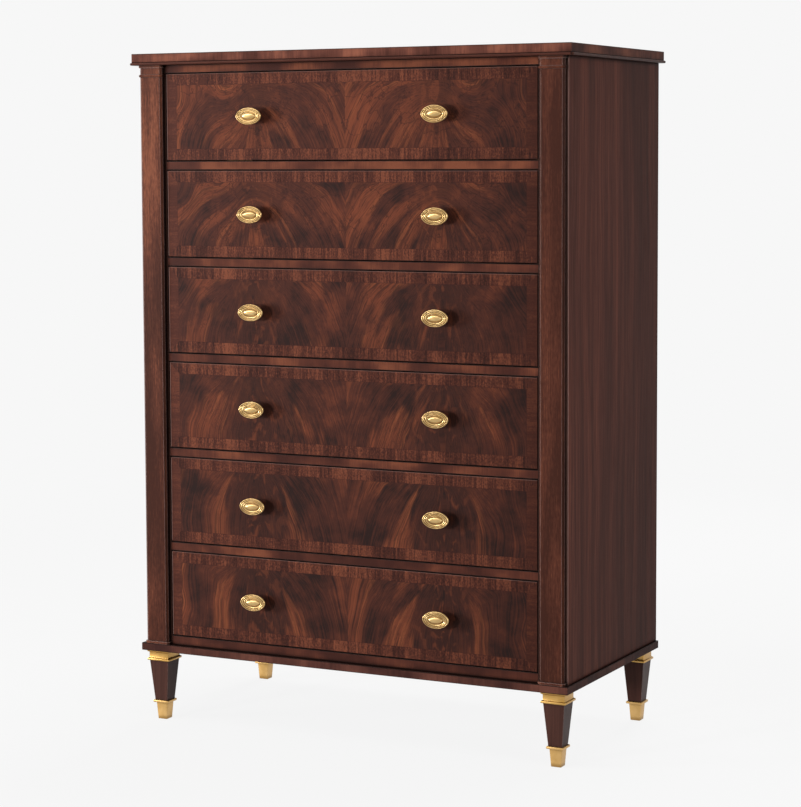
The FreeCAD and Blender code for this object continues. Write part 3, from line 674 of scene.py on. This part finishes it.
def edge_lines(graph, face, nearest, at_end, height, x):
    """A painted highlight line on a face's upper and left edges, and painted shade on its lower and right
    ones.
    """
    shaded = graph.mix_value(
        at_end, graph.math("LESS_THAN", height, 0.0), graph.math("GREATER_THAN", x, 0.0)
    )
    strength = graph.mix_value(at_end, EDGE_HIGHLIGHT, END_HIGHLIGHT)
    highlight_amount = graph.remap(nearest, PAINTED_HIGHLIGHT_LINE * 0.6, PAINTED_HIGHLIGHT_LINE * 1.1, strength, 0.0)
    face = graph.mix(graph.times(highlight_amount, graph.minus(1.0, shaded)), face, PAINTED_HIGHLIGHT)
    width = graph.mix_value(shaded, graph.mix_value(at_end, PAINTED_SHADE_LINE * 0.6, 0.0), PAINTED_SHADE_LINE)
    shade_amount = graph.remap(nearest, graph.times(width, 0.7), graph.times(width, 1.3), FULL_PAINTED_SHADE, 0.0)
    return graph.mix(shade_amount, face, PAINTED_SHADE)


def veneered_front(index, seed):
    """Crossbanded crotch veneer on a drawer's face, mahogany edges with painted shade by the face, pale
    wood behind.
    """
    graph = Graph(f"front_veneer_{index}")
    low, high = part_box(f"drawer_{index}_front")
    half_width = (high.x - low.x) / 2
    half_height = (high.z - low.z) / 2
    x, y, z = graph.point()
    height = graph.minus(z, (low.z + high.z) / 2)
    to_end = graph.minus(half_width, graph.math("ABSOLUTE", x))
    to_edge = graph.minus(half_height, graph.math("ABSOLUTE", height))

    field = crotch_field(graph, x, height, seed, **LEAVES[index - 1])
    long_band = crossband(graph, x, to_edge, seed + 21.0)
    end_colour, end_grain = crossband(graph, z, to_end, seed + 31.0)
    end_colour = graph.mix(END_BAND_MUTING, end_colour, BAND_PALETTE[1])
    # Painted shade toward the right end of the end bands.
    end_colour = graph.brighten(end_colour, graph.remap(x, 0.0, half_width, 1.0, RIGHT_BAND_SHADE))
    end_band = end_colour, end_grain
    face, grain, nearest, at_end = bordered(
        graph, field, long_band, end_band, to_end, to_edge, FRONT_BORDER
    )
    # Painted shade toward the right end of the front.
    face = graph.brighten(face, graph.remap(x, DIMMING_FROM, half_width, 1.0, RIGHT_END_SHADE))
    face = edge_lines(graph, face, nearest, at_end, height, x)

    edge, _ = straight_grain(graph, z, x, seed, CASE_PALETTE)
    # Painted shade on the edges next to the face.
    beside_face = graph.remap(graph.minus(y, low.y), SHADED_EDGE, SHADED_EDGE * 2, 1.0, 0.0)
    edge = graph.mix(beside_face, edge, PAINTED_SHADE)
    inner, _ = straight_grain(graph, z, x, seed + 2.0, INNER_PALETTE)
    _, facing, _ = graph.normal()
    colour = graph.mix(graph.math("LESS_THAN", facing, FORWARD), edge, face)
    colour = graph.mix(graph.math("GREATER_THAN", facing, BACKWARD), colour, inner)
    return lacquered(graph, colour, grain, worn=0.0)


# ---------------------------------------------------------------- brass

KNOB_BRASS = (linear(173, 136, 73), linear(189, 153, 88), linear(203, 170, 107))
COLLAR_BRASS = (linear(174, 133, 66), linear(186, 146, 80), linear(196, 158, 94))
SHOE_BRASS = (linear(186, 146, 84), linear(198, 159, 98), linear(208, 170, 112))
PATINA = linear(120, 86, 36)
# How rough the metal is, how much lacquer covers it, and how far into its hollows patina reaches.
KNOB_FINISH = {"roughness": 0.31, "coat": 0.9, "coat_ior": 1.7, "reach": 0.0026, "patina": 0.75}
LEG_FINISH = {"roughness": 0.44, "coat": 0.2, "coat_ior": 1.5, "reach": 0.012, "patina": 0.6}
COAT_ROUGHNESS = 0.22
TONE_STOPS = (0.25, 0.50, 0.75)
TONE_SPREAD = 0.03
HOLLOW_RANGE = (0.97, 0.65)
CASTING_RATE = 45.0
POLISHING_RATES = (700.0, 700.0, 2000.0)
POLISHING_DEPTH = 0.000004
HOLLOW_SAMPLES = 16


def brass_material(name, palette, roughness, coat, coat_ior, reach, patina):
    """Lacquered cast brass with an uneven tone, fine polishing lines and old polish in its grooves."""
    graph = Graph(name)
    place = graph.point()
    mottle = graph.noise(*(graph.times(axis, CASTING_RATE) for axis in place), 3.0, 0.5)
    polishing = (graph.times(axis, rate) for axis, rate in zip(place, POLISHING_RATES))
    lines = graph.noise(*polishing, 2.0, 0.5)
    colour = graph.ramp(mottle, palette, TONE_STOPS)
    hollow = graph.remap(graph.occlusion(reach, HOLLOW_SAMPLES), *HOLLOW_RANGE, 0.0, patina)
    colour = graph.mix(hollow, colour, PATINA)
    varied = graph.remap(mottle, *MIDDLING, roughness - TONE_SPREAD, roughness + TONE_SPREAD)
    coating = {"Coat_Weight": coat, "Coat_Roughness": COAT_ROUGHNESS, "Coat_IOR": coat_ior}
    return graph.shade(colour, varied, graph.bump(lines, POLISHING_DEPTH), Metallic=1.0, **coating)


# ---------------------------------------------------------------- mesh helpers

def link_mesh(name, mesh, body, material, replaced):
    """A piece that rides on a body and stands in for CAD nodes."""
    piece = bpy.data.objects.new(name, mesh)
    bpy.context.scene.collection.objects.link(piece)
    piece.data.materials.append(material)
    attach(piece, body)
    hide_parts(*replaced)
    return piece


def loft_rings(rings, smooth=True):
    """A closed mesh through rings of points that all have the same count."""
    mesh = bpy.data.meshes.new("part")
    shape = bmesh.new()
    loops = [[shape.verts.new(point) for point in ring] for ring in rings]
    for lower, upper in zip(loops, loops[1:]):
        for index in range(len(lower)):
            after = (index + 1) % len(lower)
            shape.faces.new((lower[index], lower[after], upper[after], upper[index]))
    shape.faces.new(list(reversed(loops[0])))
    shape.faces.new(loops[-1])
    bmesh.ops.recalc_face_normals(shape, faces=shape.faces)
    for face in shape.faces:
        face.smooth = smooth
    shape.to_mesh(mesh)
    shape.free()
    return mesh


def join_meshes(name, meshes):
    """One mesh from several, which are used up."""
    shape = bmesh.new()
    for mesh in meshes:
        shape.from_mesh(mesh)
        bpy.data.meshes.remove(mesh)
    joined = bpy.data.meshes.new(name)
    shape.to_mesh(joined)
    shape.free()
    return joined


def smooth_curve(points, steps):
    """Points along a Catmull-Rom curve through the given tuples."""
    padded = [points[0]] + list(points) + [points[-1]]
    result = []
    for start in range(len(points) - 1):
        before, first, second, after = padded[start:start + 4]
        for step in range(steps):
            t = step / steps
            result.append(tuple(
                0.5 * (2 * b + (c - a) * t + (2 * a - 5 * b + 4 * c - d) * t ** 2
                       + (3 * b - a - 3 * c + d) * t ** 3)
                for a, b, c, d in zip(before, first, second, after)
            ))
    result.append(tuple(points[-1]))
    return result


# ---------------------------------------------------------------- knobs

# Half width, half height and distance from the drawer's face in mm, and how pointed the oval is.
KNOB_STEM = (
    (9.5, 9.5, 0.0, 1.0), (9.5, 9.5, 1.8, 1.0), (8.9, 8.9, 2.8, 1.0), (7.2, 7.2, 3.4, 1.0),
    (6.3, 6.3, 5.0, 1.0), (5.8, 5.8, 9.0, 1.0), (6.4, 6.2, 13.0, 1.0), (9.0, 7.8, 16.2, 1.0),
)
KNOB_HEAD = (
    (9.0, 7.8, 16.2, 1.0), (17.0, 11.6, 17.9, 1.0), (25.0, 15.4, 20.0, 1.04), (29.2, 17.6, 22.0, 1.1),
    (30.0, 18.0, 23.4, 1.1), (29.6, 17.7, 24.9, 1.1), (28.6, 17.0, 26.0, 1.1), (27.2, 16.0, 26.3, 1.1),
    (26.0, 15.1, 24.3, 1.1), (25.1, 14.5, 25.7, 1.1), (24.1, 13.8, 26.1, 1.1), (23.0, 13.1, 25.7, 1.1),
    (22.1, 12.4, 24.0, 1.1), (21.2, 11.8, 25.1, 1.1), (20.0, 11.0, 25.3, 1.1), (18.6, 9.9, 24.8, 1.1),
    (17.4, 8.8, 23.9, 1.1), (16.4, 7.7, 24.6, 1.1), (15.0, 6.4, 27.0, 1.1), (12.6, 5.0, 28.7, 1.1),
    (9.4, 3.7, 29.5, 1.1), (5.6, 2.2, 29.9, 1.1), (1.0, 0.5, 30.0, 1.0),
)
KNOB_SEGMENTS = 72
SCREW_SEGMENTS = 24
STEM_STEPS = 3
HEAD_STEPS = 4
SCREW_HEAD = ((4.0, 4.0, 0.0, 1.0), (4.0, 4.0, -1.3, 1.0), (3.4, 3.4, -2.1, 1.0), (2.0, 2.0, -2.5, 1.0))


def oval_ring(centre, half_width, half_height, reach, pointed, segments=KNOB_SEGMENTS):
    """An upright oval in front of a point on the drawer's face."""
    ring = []
    for step in range(segments):
        angle = 2 * math.pi * step / segments
        rise = math.sin(angle)
        lift = math.copysign(abs(rise) ** pointed, rise)
        ring.append((
            centre[0] + half_width * MM * math.cos(angle),
            centre[1] - reach * MM,
            centre[2] + half_height * MM * lift,
        ))
    return ring


def make_knobs(index, brass):
    """Two knobs and their screw heads for one drawer, from the CAD knobs' own box."""
    low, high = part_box(f"drawer_{index}_knobs")
    front_low, front_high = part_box(f"drawer_{index}_front")
    middle = (low.z + high.z) / 2
    reach = (high.x - low.x) / 2 - max(ring[0] for ring in KNOB_HEAD) * MM
    meshes = []
    for side in (LEFT, RIGHT):
        centre = (side * reach, front_low.y, middle)
        for outline, steps in ((KNOB_STEM, STEM_STEPS), (KNOB_HEAD, HEAD_STEPS)):
            rings = [oval_ring(centre, *ring) for ring in smooth_curve(outline, steps)]
            meshes.append(loft_rings(rings))
        inside = (side * reach, front_high.y, middle)
        rings = [oval_ring(inside, *ring, segments=SCREW_SEGMENTS) for ring in SCREW_HEAD]
        meshes.append(loft_rings(rings, smooth=False))
    mesh = join_meshes(f"drawer_{index}_knob_pair", meshes)
    link_mesh(mesh.name, mesh, f"drawer_{index}", brass, (f"drawer_{index}_knobs",))


# ---------------------------------------------------------------- brass on the legs

# Half side and height, in mm, from the collar's or shoe's lower edge upwards.
COLLAR_PROFILE = (
    (21.8, 0.0), (25.6, 0.0), (26.6, 0.5), (27.0, 1.6), (27.0, 3.2), (26.5, 4.4), (25.3, 4.9),
    (24.3, 5.5), (23.7, 6.6), (23.5, 8.0), (23.5, 16.2), (23.8, 17.2), (24.8, 18.0), (26.0, 18.5),
    (26.8, 19.3), (27.0, 20.4), (27.0, 23.0),
)
SABOT_PROFILE = (
    (10.3, 0.0), (10.75, 0.5), (13.2, 35.6), (13.7, 36.2), (15.6, 36.5), (17.6, 36.8), (18.3, 37.6),
    (18.5, 38.8), (18.5, 40.0), (18.1, 41.3), (17.0, 42.0), (14.4, 42.0),
)
CORNER_RADIUS = 0.9
CORNER_STEPS = 3
CREASE_ANGLE = 32


def square_ring(centre, half, height):
    """A square with rounded corners, level, about a leg's axis."""
    ring = []
    reach = (half - CORNER_RADIUS) * math.sqrt(2)
    for quarter in range(4):
        turn = math.pi / 2 * quarter
        corner = turn + math.pi / 4
        for step in range(CORNER_STEPS + 1):
            angle = turn + math.pi / 2 * step / CORNER_STEPS
            x = reach * math.cos(corner) + CORNER_RADIUS * math.cos(angle)
            y = reach * math.sin(corner) + CORNER_RADIUS * math.sin(angle)
            ring.append((centre.x + x * MM, centre.y + y * MM, height))
    return ring


def make_leg_brass(collar_brass, shoe_brass):
    """Collars and shoes round the four legs, at the legs' own axes."""
    collar_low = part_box("leg_collars")[0].z
    for profile, base, node, name, brass in (
        (COLLAR_PROFILE, collar_low, "leg_collars", "collars", collar_brass),
        (SABOT_PROFILE, 0.0, "leg_sabots", "shoes", shoe_brass),
    ):
        meshes = []
        for corner in CORNERS:
            low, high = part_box("leg_" + corner)
            centre = (low + high) / 2
            rings = [square_ring(centre, half, base + height * MM) for half, height in profile]
            meshes.append(loft_rings(rings))
        mesh = join_meshes(name, meshes)
        piece = link_mesh(name, mesh, "case", brass, (node,))
        piece.data.shade_smooth()
        crisp = piece.modifiers.new("crisp", "EDGE_SPLIT")
        crisp.split_angle = math.radians(CREASE_ANGLE)


# ---------------------------------------------------------------- finishes on the CAD pieces

def paint(node, material):
    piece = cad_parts[node]
    piece.data.materials.clear()
    piece.data.materials.append(material)


def finish_case():
    paint("top_panel", top_board("top_panel", 3.0))
    paint("top_moulding", straight_wood("moulding", "x", "y", 5.0, CASE_PALETTE))
    paint("side_panel_left", side_panel_wood("side_panel_left", LEFT, 11.0))
    paint("side_panel_right", side_panel_wood("side_panel_right", RIGHT, 17.0))
    paint("plinth", cross_grained("plinth", 23.0, PLINTH_PALETTE, MATT, BOARD_STRIPE))
    paint("back_panel", straight_wood("back_panel", "z", "x", 29.0, PLY_PALETTE, roughness=ROUGH))
    paint("post_left", straight_wood("post_left", "z", "x", 31.0, POST_PALETTE, worn=0.0))
    paint("post_right", straight_wood("post_right", "z", "x", 32.0, POST_PALETTE, worn=0.1))
    paint("pilaster_left", mottled("pilaster_left", 41.0, 0.025, -0.070))
    paint("pilaster_right", mottled("pilaster_right", 44.0, -0.085, -0.070, return_shade=0.45))
    paint("pilaster_mouldings", mottled("pilaster_mouldings", 47.0))
    for order, corner in enumerate(CORNERS):
        leg = straight_wood("leg_" + corner, "z", "x", 51.0 + order, LEG_PALETTE, finish=POLISHED)
        paint("leg_" + corner, leg)
    rails = ["top_rail"] + [f"drawer_rail_{index}" for index in range(1, 6)] + ["bottom_rail"]
    for order, (name, tone) in enumerate(zip(rails, RAIL_TONES)):
        veneer = cross_grained(
            name, 61.0 + 4 * order, RAIL_PALETTE, GLOSS, RAIL_STRIPE, tone, shade_returns=True
        )
        paint(name, veneer)


def finish_inside():
    lengthwise = straight_wood("inner_wood_lengthwise", "x", "z", 71.0, INNER_PALETTE, roughness=SANDED)
    front_to_back = straight_wood("inner_wood_deep", "y", "x", 73.0, INNER_PALETTE, roughness=SANDED)
    upright_sides = straight_wood("drawer_side_wood", "y", "z", 75.0, INNER_PALETTE, roughness=SANDED)
    for name in ("carcass_top", "carcass_bottom", "dust_panels", "drawer_stops"):
        paint(name, lengthwise)
    for name in ("drawer_runners", "drawer_guides"):
        paint(name, front_to_back)
    for index in DRAWERS:
        paint(f"drawer_{index}_sides", upright_sides)
        paint(f"drawer_{index}_back", lengthwise)
        paint(f"drawer_{index}_bottom", front_to_back)


# ---------------------------------------------------------------- studio

PAPER = linear(247, 247, 247)
FLOOR_SEEN = linear(250, 250, 250)
FLOOR_BOUNCE = linear(178, 176, 174)
FLOOR_REACH = 40.0
FLOOR_DROP = 0.0005
# The floor shows the lamps' light and the chest's shadow only faintly, and not beyond its fade.
PLAIN_SHARE = 0.94
FADE_START = 1.4
FADE_END = 4.0


def make_floor():
    """Pale floor that takes the shadow near the chest and fades into the background."""
    mesh = bpy.data.meshes.new("floor")
    shape = bmesh.new()
    bmesh.ops.create_grid(shape, x_segments=1, y_segments=1, size=FLOOR_REACH)
    shape.to_mesh(mesh)
    shape.free()
    floor = bpy.data.objects.new("floor", mesh)
    bpy.context.scene.collection.objects.link(floor)
    floor.location.z = -FLOOR_DROP

    graph = Graph("floor")
    x, y, _ = graph.point()
    away = graph.math("SQRT", graph.add(graph.times(x, x), graph.times(y, y)))
    fade = graph.remap(away, FADE_START, FADE_END)
    rays = graph.tree.nodes.new("ShaderNodeLightPath")
    seen = graph.math("MAXIMUM", rays.outputs["Is Camera Ray"], rays.outputs["Is Glossy Ray"])
    seen = graph.math("MAXIMUM", seen, rays.outputs["Is Transmission Ray"])
    matte = graph.tree.nodes.new("ShaderNodeBsdfDiffuse")
    graph.plug(matte.inputs["Color"], graph.mix(seen, FLOOR_BOUNCE, FLOOR_SEEN))
    paper = graph.tree.nodes.new("ShaderNodeEmission")
    graph.plug(paper.inputs["Color"], PAPER)
    share = graph.times(seen, graph.add(PLAIN_SHARE, graph.times(fade, 1.0 - PLAIN_SHARE)))
    blend = graph.tree.nodes.new("ShaderNodeMixShader")
    graph.plug(blend.inputs[0], share)
    graph.plug(blend.inputs[1], matte.outputs[0])
    graph.plug(blend.inputs[2], paper.outputs[0])
    output = graph.tree.nodes.new("ShaderNodeOutputMaterial")
    graph.plug(output.inputs["Surface"], blend.outputs[0])
    floor.data.materials.append(graph.material)


AMBIENT = 0.16


def make_world():
    """Paper white wherever it is seen or mirrored, and a softer grey as light."""
    world = bpy.data.worlds.new("studio")
    bpy.context.scene.world = world
    world.use_nodes = True
    tree = world.node_tree
    tree.nodes.clear()
    rays = tree.nodes.new("ShaderNodeLightPath")
    seen = rays.outputs["Is Camera Ray"]
    for kind in ("Is Glossy Ray", "Is Transmission Ray"):
        either = tree.nodes.new("ShaderNodeMath")
        either.operation = "MAXIMUM"
        tree.links.new(seen, either.inputs[0])
        tree.links.new(rays.outputs[kind], either.inputs[1])
        seen = either.outputs[0]
    ambient = tree.nodes.new("ShaderNodeBackground")
    ambient.inputs["Color"].default_value = (1.0, 1.0, 1.0, 1.0)
    ambient.inputs["Strength"].default_value = AMBIENT
    paper = tree.nodes.new("ShaderNodeBackground")
    paper.inputs["Color"].default_value = PAPER
    blend = tree.nodes.new("ShaderNodeMixShader")
    tree.links.new(seen, blend.inputs[0])
    tree.links.new(ambient.outputs[0], blend.inputs[1])
    tree.links.new(paper.outputs[0], blend.inputs[2])
    output = tree.nodes.new("ShaderNodeOutputWorld")
    tree.links.new(blend.outputs[0], output.inputs[0])


# The key and front lamps cast the knobs' shadows, the card shows only in reflections, and the last
# two light the top and the back.
LAMPS = {
    "key": {"place": (-5.3, -3.7, 1.05), "size": (1.4, 1.4), "power": 312.0},
    "front": {"place": (-2.1, -4.7, 1.05), "size": (0.5, 0.5), "power": 170.0, "mirrored": False},
    "fill": {"place": (3.4, -1.6, 2.2), "size": (1.6, 2.0), "power": 38.0},
    "overhead": {"place": (-0.6, -1.4, 3.2), "size": (2.0, 1.2), "power": 22.0},
    "card": {"place": (-2.6, -3.0, 3.0), "size": (1.6, 1.0), "power": 70.0, "lights": False},
    "top": {"place": (0.2, 1.5, 4.0), "size": (2.0, 1.4), "power": 75.0, "mirrored": False},
    "behind": {"place": (-0.3, 4.6, 1.8), "size": (1.6, 1.6), "power": 110.0, "mirrored": False},
}
AIM = Vector((0.0, 0.0, 0.78))


def make_lamps():
    """Soft lamps that the camera doesn't see, all turned to the middle of the chest."""
    for name, facts in LAMPS.items():
        data = bpy.data.lights.new(name, "AREA")
        data.shape = "RECTANGLE"
        data.size, data.size_y = facts["size"]
        data.energy = facts["power"]
        lamp = bpy.data.objects.new(name, data)
        bpy.context.scene.collection.objects.link(lamp)
        lamp.location = facts["place"]
        lamp.visible_camera = False
        lamp.visible_diffuse = facts.get("lights", True)
        lamp.visible_glossy = facts.get("mirrored", True)
        lamp.rotation_euler = (AIM - lamp.location).to_track_quat("-Z", "Y").to_euler()


def make_studio():
    bpy.context.scene.view_settings.view_transform = "Standard"
    make_floor()
    make_world()
    make_lamps()


# ---------------------------------------------------------------- assembly

def dress():
    knob_brass = brass_material("knob_brass", KNOB_BRASS, **KNOB_FINISH)
    collar_brass = brass_material("collar_brass", COLLAR_BRASS, **LEG_FINISH)
    shoe_brass = brass_material("shoe_brass", SHOE_BRASS, **LEG_FINISH)
    finish_case()
    finish_inside()
    for index in DRAWERS:
        paint(f"drawer_{index}_front", veneered_front(index, LEAF_STEP * index))
        make_knobs(index, knob_brass)
    make_leg_brass(collar_brass, shoe_brass)


make_camera()
dress()
make_studio()
